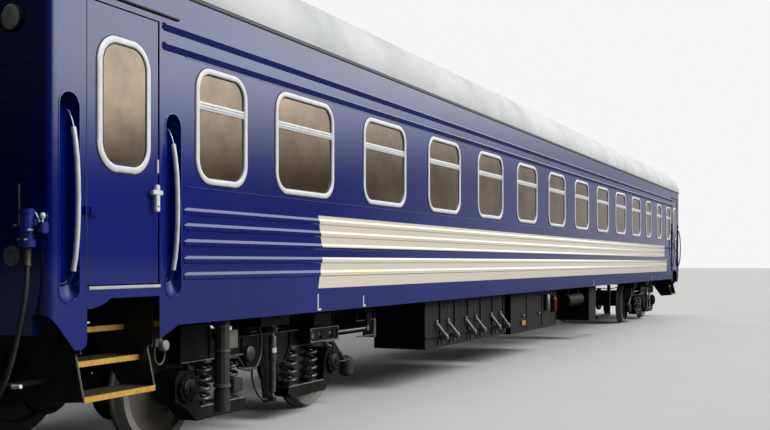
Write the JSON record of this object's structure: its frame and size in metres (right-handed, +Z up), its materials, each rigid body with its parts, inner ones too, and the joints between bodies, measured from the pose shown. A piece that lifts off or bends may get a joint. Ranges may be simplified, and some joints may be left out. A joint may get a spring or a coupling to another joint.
{
  "type": "passenger coach",
  "caption": "Railway sleeping coach with ribbed sides, arched roof, vestibules with stairs and doors, on two sprung bogies with free-turning wheelsets.",
  "frame": {"origin": "middle of the coach at the lowest point of the wheel flanges", "axes": "+X along the coach to its far end, +Y across it to the corridor side, +Z up"},
  "size_m": [26.696, 3.206, 4.438],
  "materials": {
    "glass": "dark tinted, smooth",
    "white_trim": "satin white enamel",
    "white_tube": "gloss white enamel",
    "roof_white": "weathered white paint",
    "blue_paint": "gloss deep blue enamel",
    "blue_fitting": "gloss blue enamel",
    "yellow_paint": "worn yellow enamel",
    "dark_steel": "dark painted steel",
    "black_paint": "black painted steel, dusty",
    "grey_boxes": "grey enamel, dusty",
    "spring_steel": "grey painted spring steel",
    "cast_steel": "cast steel, dusty",
    "wheel_steel": "rolled steel, dusty, bright tread",
    "rubber": "dull black rubber",
    "lamp_glass": "pale glass lens",
    "floor_cover": "grey floor covering",
    "inner_laminate": "pale laminate"
  },
  "bodies": {
    "coach_body": {"air_tanks": "grey_boxes", "battery_boxes": "grey_boxes", "compartment_walls": "inner_laminate", "corner_panels": "blue_paint", "coupler_heads": "cast_steel", "door_surrounds": "blue_paint", "end_walls": "blue_paint", "equipment_boxes": "grey_boxes", "floor": "floor_cover", "gangway_footplates": "dark_steel", "gangway_frames": "dark_steel", "gangway_rolls": "rubber", "gutters": "dark_steel", "handrails": "white_tube", "jumper_cable": "rubber", "jumper_sockets": "blue_fitting", "marker_lamps": "lamp_glass", "roof": "roof_white", "roof_vents": "roof_white", "side_walls": "blue_paint", "soil_pipes": "grey_boxes", "stair_flights": "dark_steel", "step_nosings": "yellow_paint", "underframe": "black_paint", "vestibule_bulkheads": "inner_laminate", "vestibule_floors": "floor_cover", "window_frames": "white_trim", "window_panes": "glass"},
    "bogie_far": {"axle_arms_far": "cast_steel", "bogie_bolster_far": "black_paint", "bogie_dampers_far": "grey_boxes", "bogie_frame_far": "black_paint", "bogie_springs_far": "spring_steel"},
    "bogie_near": {"axle_arms_near": "cast_steel", "bogie_bolster_near": "black_paint", "bogie_dampers_near": "grey_boxes", "bogie_frame_near": "black_paint", "bogie_springs_near": "spring_steel"},
    "wheelset_far_inner": {"axle_far_inner": "wheel_steel", "wheels_far_inner": "wheel_steel"},
    "wheelset_far_outer": {"axle_far_outer": "wheel_steel", "wheels_far_outer": "wheel_steel"},
    "wheelset_near_inner": {"axle_near_inner": "wheel_steel", "wheels_near_inner": "wheel_steel"},
    "wheelset_near_outer": {"axle_near_outer": "wheel_steel", "wheels_near_outer": "wheel_steel"},
    "side_door_far_left": {"door_glass_far_left": "glass", "side_door_far_left": "blue_paint"},
    "side_door_far_right": {"door_glass_far_right": "glass", "side_door_far_right": "blue_paint"},
    "side_door_near_left": {"door_glass_near_left": "glass", "side_door_near_left": "blue_paint"},
    "side_door_near_right": {"door_glass_near_right": "glass", "side_door_near_right": "blue_paint"},
    "gangway_door_far": {"gangway_door_far": "blue_paint"},
    "gangway_door_near": {"gangway_door_near": "blue_paint"},
    "trap_far_left": {"trap_far_left": "dark_steel"},
    "trap_far_right": {"trap_far_right": "dark_steel"},
    "trap_near_left": {"trap_near_left": "dark_steel"},
    "trap_near_right": {"trap_near_right": "dark_steel"}
  },
  "joints": [
    {"name": "bogie_near_yaw", "type": "hinge", "parent": "coach_body", "child": "bogie_near", "pos_m": [-9.5, 0, 1.078], "axis": [0, 0, 1], "range_deg": [-3, 3]},
    {"name": "wheelset_near_outer_spin", "type": "hinge", "parent": "bogie_near", "child": "wheelset_near_outer", "pos_m": [-10.78, 0, 0.5065], "axis": [0, 1, 0], "continuous": true},
    {"name": "wheelset_near_inner_spin", "type": "hinge", "parent": "bogie_near", "child": "wheelset_near_inner", "pos_m": [-8.22, 0, 0.5065], "axis": [0, 1, 0], "continuous": true},
    {"name": "gangway_door_near_hinge", "type": "hinge", "parent": "coach_body", "child": "gangway_door_near", "pos_m": [-12.698, 0.382, 2.3], "axis": [0, 0, 1], "range_deg": [0, 90]},
    {"name": "side_door_near_left_hinge", "type": "hinge", "parent": "coach_body", "child": "side_door_near_left", "pos_m": [-12.404, -1.457, 2.3], "axis": [0, 0, 1], "range_deg": [0, 90]},
    {"name": "trap_near_left_hinge", "type": "hinge", "parent": "coach_body", "child": "trap_near_left", "pos_m": [-11.653, -1.09, 1.393], "axis": [0, 1, 0], "range_deg": [0, 90]},
    {"name": "side_door_near_right_hinge", "type": "hinge", "parent": "coach_body", "child": "side_door_near_right", "pos_m": [-12.404, 1.457, 2.3], "axis": [0, 0, -1], "range_deg": [0, 90]},
    {"name": "trap_near_right_hinge", "type": "hinge", "parent": "coach_body", "child": "trap_near_right", "pos_m": [-11.653, 1.09, 1.393], "axis": [0, 1, 0], "range_deg": [0, 90]},
    {"name": "bogie_far_yaw", "type": "hinge", "parent": "coach_body", "child": "bogie_far", "pos_m": [9.5, 0, 1.078], "axis": [0, 0, 1], "range_deg": [-3, 3]},
    {"name": "wheelset_far_outer_spin", "type": "hinge", "parent": "bogie_far", "child": "wheelset_far_outer", "pos_m": [10.78, 0, 0.5065], "axis": [0, 1, 0], "continuous": true},
    {"name": "wheelset_far_inner_spin", "type": "hinge", "parent": "bogie_far", "child": "wheelset_far_inner", "pos_m": [8.22, 0, 0.5065], "axis": [0, 1, 0], "continuous": true},
    {"name": "gangway_door_far_hinge", "type": "hinge", "parent": "coach_body", "child": "gangway_door_far", "pos_m": [12.698, -0.382, 2.3], "axis": [0, 0, 1], "range_deg": [0, 90]},
    {"name": "side_door_far_left_hinge", "type": "hinge", "parent": "coach_body", "child": "side_door_far_left", "pos_m": [12.404, -1.457, 2.3], "axis": [0, 0, -1], "range_deg": [0, 90]},
    {"name": "trap_far_left_hinge", "type": "hinge", "parent": "coach_body", "child": "trap_far_left", "pos_m": [11.653, -1.09, 1.393], "axis": [0, -1, 0], "range_deg": [0, 90]},
    {"name": "side_door_far_right_hinge", "type": "hinge", "parent": "coach_body", "child": "side_door_far_right", "pos_m": [12.404, 1.457, 2.3], "axis": [0, 0, 1], "range_deg": [0, 90]},
    {"name": "trap_far_right_hinge", "type": "hinge", "parent": "coach_body", "child": "trap_far_right", "pos_m": [11.653, 1.09, 1.393], "axis": [0, -1, 0], "range_deg": [0, 90]}
  ]
}
